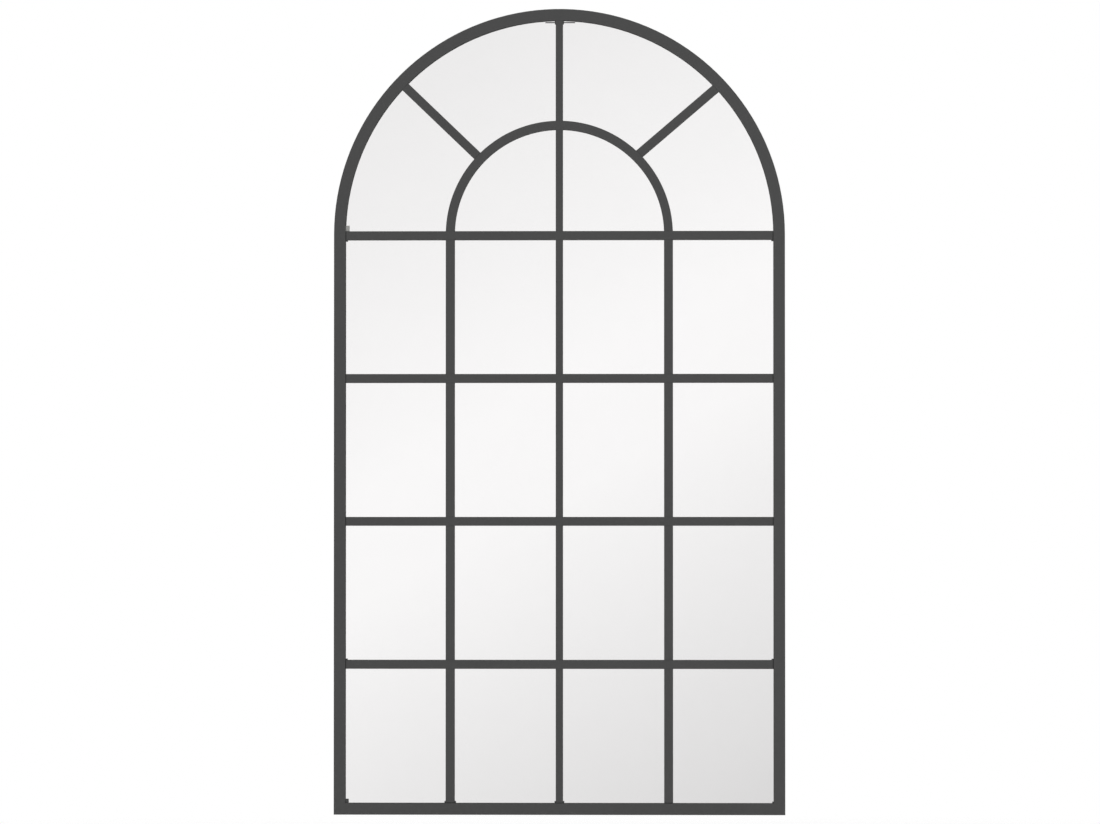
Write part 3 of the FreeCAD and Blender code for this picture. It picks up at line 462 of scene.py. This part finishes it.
silver, tree, place = blank("silver_on_glass")
grade = add(tree, "ShaderNodeTexNoise", {"Vector": place, "Scale": every(333),
                                         "Detail": 2.0})
silver_tone = add(tree, "ShaderNodeValToRGB", {"Fac": grade.outputs["Fac"]},
                  stops=((0.3, "#FCFAFA"), (0.7, "#FDFBFB")))
surface = add(tree, "ShaderNodeBsdfPrincipled", {
    "Base Color": silver_tone.outputs[0], "Metallic": 1.0, "Roughness": 0.0})
add(tree, "ShaderNodeOutputMaterial", {"Surface": surface.outputs[0]})

mirror_paint, tree, place = blank("grey_mirror_backing_paint")
brushed = add(tree, "ShaderNodeTexNoise", {"Vector": place, "Scale": every(3.3),
                                           "Detail": 3.0})
paint_tone = add(tree, "ShaderNodeValToRGB", {"Fac": brushed.outputs["Fac"]},
                 stops=((0.3, "#5A6064"), (0.7, "#666C70")))
surface = add(tree, "ShaderNodeBsdfPrincipled", {
    "Base Color": paint_tone.outputs[0], "Roughness": 0.6})
add(tree, "ShaderNodeOutputMaterial", {"Surface": surface.outputs[0]})
print("materials:", sorted(m.name for m in bpy.data.materials))

# %% [markdown]
# ## The CAD parts get their finish
# The record names a material slot for each CAD node, so one table joins slot to finish. The
# steel's sharp CAD edges get a fine round of 0.3 mm, as a real cut edge has after blasting
# and coating. Three modifiers do that without touching the exact mesh: one joins the faces at
# their edges, one clears the lines that cross flat faces, and the last rounds what is sharp.

# %% Finishes on the CAD parts
FINISH = {"powder_coat": powder_coat, "zinc_plated_steel": zinc_plate,
          "hardboard": hardboard, "foam_tape": foam, "rubber": rubber,
          "silvered_glass": float_glass}
EDGE_ROUND = {"powder_coat": 0.3 * MM, "zinc_plated_steel": 0.15 * MM}
ROUND_STEPS = 2
SAME_POINT = 0.002 * MM
FLAT_WITHIN, SHARP_FROM = math.radians(0.5), math.radians(35)


def dress(node, slot):
    """Give one CAD node its finish and its rounded edges."""
    part = parts[node]
    part.data.materials.clear()
    part.data.materials.append(FINISH[slot])
    if slot in EDGE_ROUND:
        weld = part.modifiers.new("joined_faces", "WELD")
        weld.merge_threshold = SAME_POINT
        flat = part.modifiers.new("flat_faces", "DECIMATE")
        flat.decimate_type, flat.angle_limit = "DISSOLVE", FLAT_WITHIN
        bevel = part.modifiers.new("rounded_edges", "BEVEL")
        bevel.width, bevel.segments = EDGE_ROUND[slot], ROUND_STEPS
        bevel.limit_method, bevel.angle_limit = "ANGLE", SHARP_FROM
        bevel.harden_normals = True


for row in frame["record"]["subparts"]:
    dress(row["node"], row["material_slot"])

# %% [markdown]
# ## A way to build round and lofted pieces
# Glass, studs, nuts, screws and beads are all skins stretched over a row of closed rings. One
# function makes the skin, another turns polar steps round an axis into points.

# %% Loft helpers
def piece(name, body, materials, fill):
    """Make a mesh piece with fill(bm), and let it ride on a CAD body."""
    mesh = bpy.data.meshes.new(name)
    maker = bmesh.new()
    fill(maker)
    bmesh.ops.recalc_face_normals(maker, faces=maker.faces)
    maker.to_mesh(mesh)
    maker.free()
    for material in materials:
        mesh.materials.append(material)
    made = bpy.data.objects.new(name, mesh)
    bpy.context.scene.collection.objects.link(made)
    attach(made, body)
    print(name, len(mesh.vertices), "points")
    return made


def loft(maker, rings, joined=False, smooth=True):
    """Skin a row of rings with the same count of points; joined closes the row on itself."""
    rows = [[maker.verts.new(point) for point in ring] for ring in rings]
    pairs = list(zip(rows, rows[1:])) + ([(rows[-1], rows[0])] if joined else [])
    for low, high in pairs:
        for i in range(len(low)):
            j = (i + 1) % len(low)
            maker.faces.new((low[i], low[j], high[j], high[i])).smooth = smooth
    if joined:
        return []
    return [maker.faces.new(rows[0]), maker.faces.new(rows[-1])]


def around(origin, axis, first, radius_at, height_at, steps):
    """A ring of points round an axis; radius and height may change with the angle."""
    second = axis.cross(first)
    points = []
    for step in range(steps):
        angle = math.tau * step / steps
        across = first * math.cos(angle) + second * math.sin(angle)
        points.append(origin + across * radius_at(angle) + axis * height_at(angle))
    return points


# %% [markdown]
# ## The mirror sheet
# The sheet has the outline of the frame's rebate: straight sides and a half-round head. Its
# edge is ground with a small arris back and front. The front face is glass, the back face is
# silver seen through the glass, and a skin of grey paint covers the silver's back. Two faces in
# one plane would flicker, so the glass keeps a hundredth of a millimetre off the tape, and the
# paint a little more off the silver. The head springs from the height where the stiles end.

# %% Mirror glass, silver and paint
low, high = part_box("mirror_glass")
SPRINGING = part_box("left_stile")[1].z
ARRIS = 0.6 * MM
PAINT = 0.08 * MM
PAINT_GAP = 0.3 * PAINT
PAINT_INSET = 1.2 * ARRIS
TAPE_GAP = 0.01 * MM
HEAD_STEPS = 160


def arched_outline(inset, y):
    """The sheet's outline, drawn in from its edge by inset, at one depth."""
    half = high.x - inset
    points = [Vector((-half, y, low.z + inset)), Vector((half, y, low.z + inset))]
    for step in range(HEAD_STEPS + 1):
        angle = math.pi * step / HEAD_STEPS
        points.append(Vector((half * math.cos(angle), y, SPRINGING + half * math.sin(angle))))
    return points


def fill_glass(maker):
    """The sheet: its front face, its ground edge with an arris each side, its silvered back."""
    front, back = low.y + TAPE_GAP, high.y - PAINT
    caps = loft(maker, [
        arched_outline(ARRIS, front), arched_outline(0, front + ARRIS),
        arched_outline(0, back - ARRIS), arched_outline(ARRIS, back)], smooth=False)
    for face in maker.faces:
        face.material_index = 1
    caps[0].material_index = 0
    caps[1].material_index = 2


def fill_paint(maker):
    """The skin of paint, a breath behind the silver."""
    loft(maker, [arched_outline(PAINT_INSET, high.y - PAINT + PAINT_GAP),
                 arched_outline(PAINT_INSET, high.y)], smooth=False)


mirror = piece("silvered_mirror_sheet", "frame",
               [float_glass, ground_edge, silver], fill_glass)
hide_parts("mirror_glass")
piece("mirror_backing_paint", "frame", [mirror_paint], fill_paint)

# %% [markdown]
# ## Where the studs stand
# Fifteen M4 weld studs stand on the inside of the frame's wall: three up each stile, three
# along the foot, four round the head, and two more for the hanger rail. Each station says
# where the stud's foot is, which way it points, and how thick the clip's leg or the rail's ear
# is that it holds. The nuts sit on top of that thickness.

# %% Stations
STEEL = 2.0 * MM
WALL = cad_box[1].x - STEEL
CLIP_LEG, RAIL_EAR = 1.2 * MM, 2.0 * MM
STILE_HEIGHTS = (150 * MM, 420 * MM, 690 * MM)
FOOT_PLACES = (-200 * MM, 0.0, 200 * MM)
HEAD_ANGLES = (22.5, 67.5, 112.5, 157.5)
DEPTHWISE = Vector((0, 1, 0))


def centre(node):
    """The middle of one CAD node's box."""
    return sum(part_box(node), Vector()) / 2


stud_depth = centre("clip_studs").y
stations = [(Vector((side * WALL, stud_depth, height)), Vector((-side, 0, 0)), CLIP_LEG)
            for height in STILE_HEIGHTS for side in (1, -1)]
stations += [(Vector((x, stud_depth, STEEL)), Vector((0, 0, 1)), CLIP_LEG)
             for x in FOOT_PLACES]
for degrees in HEAD_ANGLES:
    out = Vector((math.cos(math.radians(degrees)), 0, math.sin(math.radians(degrees))))
    foot = out * WALL + Vector((0, stud_depth, SPRINGING))
    stations.append((foot, -out, CLIP_LEG))
stations += [(Vector((side * WALL, stud_depth, centre("hanger_rail").z)),
              Vector((-side, 0, 0)), RAIL_EAR) for side in (1, -1)]
print("studs:", len(stations))

# %% [markdown]
# ## Threaded studs
# A thread is a ridge that climbs 0.7 mm a turn, so each ring of the loft is a circle whose
# radius rises and falls once round, a little later on each ring. The last 0.6 mm is cut back
# to a lead-in, so that a nut finds its start.

# %% Studs
STUD_LENGTH = 7.0 * MM
STUD_ROWS, STUD_SIDES = 80, 20
THREAD_RADIUS = 2.0 * MM
THREAD_PITCH = 0.7 * MM
THREAD_DEPTH = 0.43 * MM
LEAD_IN = 0.6 * MM


def fill_studs(maker):
    """A threaded rod at each station."""
    for foot, inward, _ in stations:
        rings = []
        for row in range(STUD_ROWS + 1):
            rise = STUD_LENGTH * row / STUD_ROWS
            cut = max(0.0, LEAD_IN - (STUD_LENGTH - rise))

            def radius(angle, rise=rise, cut=cut):
                turn = (rise / THREAD_PITCH - angle / math.tau) % 1.0
                ridge = THREAD_RADIUS - THREAD_DEPTH * (1 - abs(2 * turn - 1))
                return min(ridge, THREAD_RADIUS - cut)

            rings.append(around(foot, inward, DEPTHWISE, radius, lambda a, r=rise: r,
                                STUD_SIDES))
        loft(maker, rings)


studs = piece("threaded_studs", "frame", [zinc_plate], fill_studs)
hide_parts("clip_studs")

# %% [markdown]
# ## Hexagon nuts
# The nut is a thin hexagon, 7 mm across its flats. It is turned from bar, and a 30 degree cone
# cuts its corners back at both faces, which leaves the curved line that every nut shows. Rings
# of 72 points run from the bore out over one face, up the flats and back to the bore. Clips
# and ears stand a tenth of a millimetre off the wall, which the nut's seat has to count in.

# %% Nuts
NUT_FLAT = 3.5 * MM
NUT_HEIGHT = 2.2 * MM
NUT_SIDES = 72
BORE = THREAD_RADIUS - 0.3 * MM
BORE_LIP = THREAD_RADIUS + 0.15 * MM
BEARING = 0.98 * NUT_FLAT
COUNTERSINK = 0.4 * MM
CORNER_CONE = math.radians(30)
SEAT_GAP = 0.1 * MM


def hexagon(angle):
    """Distance from the nut's axis to its side at an angle from the middle of a flat."""
    return NUT_FLAT / math.cos((angle + math.pi / 6) % (math.pi / 3) - math.pi / 6)


def corner_cut(angle):
    """How far the cone cuts the nut back at an angle: most at a corner, not at all mid-flat."""
    return (hexagon(angle) - NUT_FLAT) * math.tan(CORNER_CONE)


def fill_nuts(maker):
    """A nut on each stud, seated on the clip or the ear under it."""
    steps = [
        (lambda a: BORE, lambda a: COUNTERSINK),
        (lambda a: BORE_LIP, lambda a: 0.0),
        (lambda a: BEARING, lambda a: 0.0),
        (hexagon, corner_cut),
        (hexagon, lambda a: NUT_HEIGHT - corner_cut(a)),
        (lambda a: BEARING, lambda a: NUT_HEIGHT),
        (lambda a: BORE_LIP, lambda a: NUT_HEIGHT),
        (lambda a: BORE, lambda a: NUT_HEIGHT - COUNTERSINK),
    ]
    for foot, inward, leg in stations:
        base = foot + inward * (SEAT_GAP + leg)
        loft(maker, [around(base, inward, DEPTHWISE, radius, height, NUT_SIDES)
                     for radius, height in steps], joined=True, smooth=False)


nuts = piece("hexagon_nuts", "frame", [zinc_plate], fill_nuts)
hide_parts("clip_nuts")

# %% [markdown]
# ## Pan head screws
# Each strap is held by two M4 pan head screws, one above the other. The head is a low dome; a
# cross recess is pressed into it. The dome is built as rings from rim to middle, and the recess
# is a cross where the rings sink, with sloping walls. Where its arms meet, the sides of the
# arms no longer count, so the cross stays deep in its middle.

# %% Screws
HEAD_RADIUS = 3.6 * MM
HEAD_HEIGHT = 2.2 * MM
HEAD_ROWS, HEAD_SIDES = 34, 96
DOME_POWER = 3
RECESS_REACH = 2.1 * MM
RECESS_HALF = 0.45 * MM
RECESS_MIDDLE = 1.6 * RECESS_HALF
RECESS_DEPTH = 1.3 * MM
RECESS_SLOPE = 0.22 * MM
THINNEST = 0.2 * MM
SHANK = 3.0 * MM
SCREWS_APART = 8.0 * MM
HANGER_REACH = centre("right_hanger_strap").x
BETWEEN_SCREWS = centre("hanger_screws").z
STRAP_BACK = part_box("hanger_screws")[1].y - HEAD_HEIGHT


def head_height(radius, angle):
    """Height of the head's skin at one point: the dome less the cross recess."""
    dome = HEAD_HEIGHT * math.sqrt(1 - (radius / HEAD_RADIUS) ** DOME_POWER)
    a, b = abs(radius * math.cos(angle)), abs(radius * math.sin(angle))
    long_way, short_way = max(a, b), min(a, b)
    inside = min(RECESS_REACH - long_way, RECESS_HALF - short_way)
    if long_way < RECESS_MIDDLE:
        inside = RECESS_REACH - long_way
    sink = RECESS_DEPTH * min(1.0, max(0.0, inside / RECESS_SLOPE))
    return max(dome - sink, THINNEST)


def fill_screws(maker):
    """Four screws: a plain shank in the rail, then the head from its rim to its middle."""
    for side in (-1, 1):
        for rise in (SCREWS_APART / 2, -SCREWS_APART / 2):
            seat = Vector((side * HANGER_REACH, STRAP_BACK, BETWEEN_SCREWS + rise))

            def ring(radius, height):
                return around(seat, DEPTHWISE, Vector((1, 0, 0)), lambda a: radius, height,
                              HEAD_SIDES)

            rings = [ring(THREAD_RADIUS, lambda a: -SHANK), ring(THREAD_RADIUS, lambda a: 0.0),
                     ring(HEAD_RADIUS, lambda a: 0.0)]
            for row in range(HEAD_ROWS):
                span = HEAD_RADIUS * (1 - row / HEAD_ROWS)
                rings.append(ring(span, lambda a, span=span: head_height(span, a)))
            loft(maker, rings)


screws = piece("pan_head_screws", "frame", [zinc_plate], fill_screws)
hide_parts("hanger_screws")

# %% [markdown]
# ## How a weld bead is built
# The frame's head is welded to its stiles, and the corner plates to the frame, with short
# stitches. A bead is a string of overlapping ripples about 1.2 mm apart, and no two are quite
# alike, so the radius of each ring varies by up to 3% with a seeded draw. It starts and stops
# thin, over three rings.

# %% Bead helpers
RIPPLE = 1.2 * MM
RINGS_PER_RIPPLE = 4
RIPPLE_SWELL, UNEVEN = 0.14, 0.03
THIN_END, TAPER_RINGS = 0.35, 3
BEAD_SIDES = 14
LEAST_STEPS = 8
draw = random.Random(4)


def bead(maker, path, radius):
    """One stitch along a row of close points."""
    rings = []
    for number, point in enumerate(path):
        onward = path[min(number + 1, len(path) - 1)] - path[max(number - 1, 0)]
        way = onward.normalized()
        side = way.orthogonal().normalized()
        from_end = min(number, len(path) - 1 - number) / TAPER_RINGS
        ripple = abs(math.sin(math.pi * number / RINGS_PER_RIPPLE))
        swell = 1 - RIPPLE_SWELL * (1 - ripple) + draw.uniform(-UNEVEN, UNEVEN)
        size = radius * swell * min(1.0, THIN_END + (1 - THIN_END) * from_end)
        rings.append(around(point, way, side, lambda a, size=size: size, lambda a: 0.0,
                            BEAD_SIDES))
    loft(maker, rings)


def straight(start, end):
    """Points along a line, four to a ripple."""
    count = max(LEAST_STEPS, round((end - start).length / (RIPPLE / RINGS_PER_RIPPLE)))
    return [start.lerp(end, i / count) for i in range(count + 1)]


# %% [markdown]
# ## Where the beads run
# One bead goes down the inside of each springing joint. Two stitches along each leg hold the
# lower corner plates, and two short arcs the upper ones. A stitch is sunk a little into its
# plate, and a joint's bead keeps clear of the board and of the frame's back edge. The beads lie
# under the same powder coat as the frame.

# %% Welds
STITCH_SINK = 0.3 * MM
STITCH_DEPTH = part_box("lower_gussets")[1].y - STITCH_SINK
JOINT_MARGIN = 0.6 * MM
JOINT_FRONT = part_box("backing_board")[1].y + JOINT_MARGIN
JOINT_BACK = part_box("left_stile")[1].y - JOINT_MARGIN
LOWER_STITCHES = ((8 * MM, 20 * MM), (30 * MM, 42 * MM))
UPPER_PLATES = (45, 135)
UPPER_STITCHES = (-3.8, 1.8)
STITCH_TURN = 2.0
STITCH_STEPS = 40
JOINT_BEAD, PLATE_BEAD = 1.1 * MM, 0.9 * MM


def fill_welds(maker):
    """All the stitches that show from behind."""
    for side in (-1, 1):
        wall = side * WALL
        bead(maker, straight(Vector((wall, JOINT_FRONT, SPRINGING)),
                             Vector((wall, JOINT_BACK, SPRINGING))), JOINT_BEAD)
        for first, last in LOWER_STITCHES:
            bead(maker, straight(Vector((wall, STITCH_DEPTH, first)),
                                 Vector((wall, STITCH_DEPTH, last))), PLATE_BEAD)
            bead(maker, straight(
                Vector((wall - side * (first - STEEL), STITCH_DEPTH, STEEL)),
                Vector((wall - side * (last - STEEL), STITCH_DEPTH, STEEL))), PLATE_BEAD)
    for middle in UPPER_PLATES:
        for first in UPPER_STITCHES:
            path = []
            for step in range(STITCH_STEPS + 1):
                angle = math.radians(middle + first + STITCH_TURN * step / STITCH_STEPS)
                path.append(Vector((WALL * math.cos(angle), STITCH_DEPTH,
                                    SPRINGING + WALL * math.sin(angle))))
            bead(maker, path, PLATE_BEAD)


piece("weld_beads", "frame", [powder_coat], fill_welds)

# %% [markdown]
# ## Ground joints
# The two mitres and the two joints at the springing are also welded along the outside. There
# the weld is ground flush before the coat goes on, so from the front no line shows. A thin
# wedge fills the groove between the rounded edges of the two pieces, its flat side out. It
# lies a hundredth of a millimetre low, because two faces in one plane would flicker.

# %% Flush welds
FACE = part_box("bottom_rail")[1].z
GROOVE = 0.42 * MM
SUNK = 0.01 * MM


def flush_weld(maker, start, end, outward):
    """A wedge of ground weld along a joint; it stops short of the rounds at its ends."""
    run = (end - start).normalized()
    aside, inward = run.cross(outward) * GROOVE, -outward
    rings = [[point + aside, point - aside, point + inward * GROOVE]
             for point in (start + run * GROOVE + inward * SUNK,
                           end - run * GROOVE + inward * SUNK)]
    loft(maker, rings, smooth=False)


def fill_flush_welds(maker):
    """The mitre, and the springing joint on the face and on the wall, on each side."""
    front, rear = (corner.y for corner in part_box("left_stile"))
    for side in (-1, 1):
        edge = side * cad_box[1].x
        lip = edge - side * FACE
        flush_weld(maker, Vector((edge, front, 0)), Vector((lip, front, FACE)), -DEPTHWISE)
        flush_weld(maker, Vector((edge, front, SPRINGING)), Vector((lip, front, SPRINGING)),
                   -DEPTHWISE)
        flush_weld(maker, Vector((edge, front, SPRINGING)), Vector((edge, rear, SPRINGING)),
                   Vector((side, 0, 0)))


piece("flush_welds", "frame", [powder_coat], fill_flush_welds)
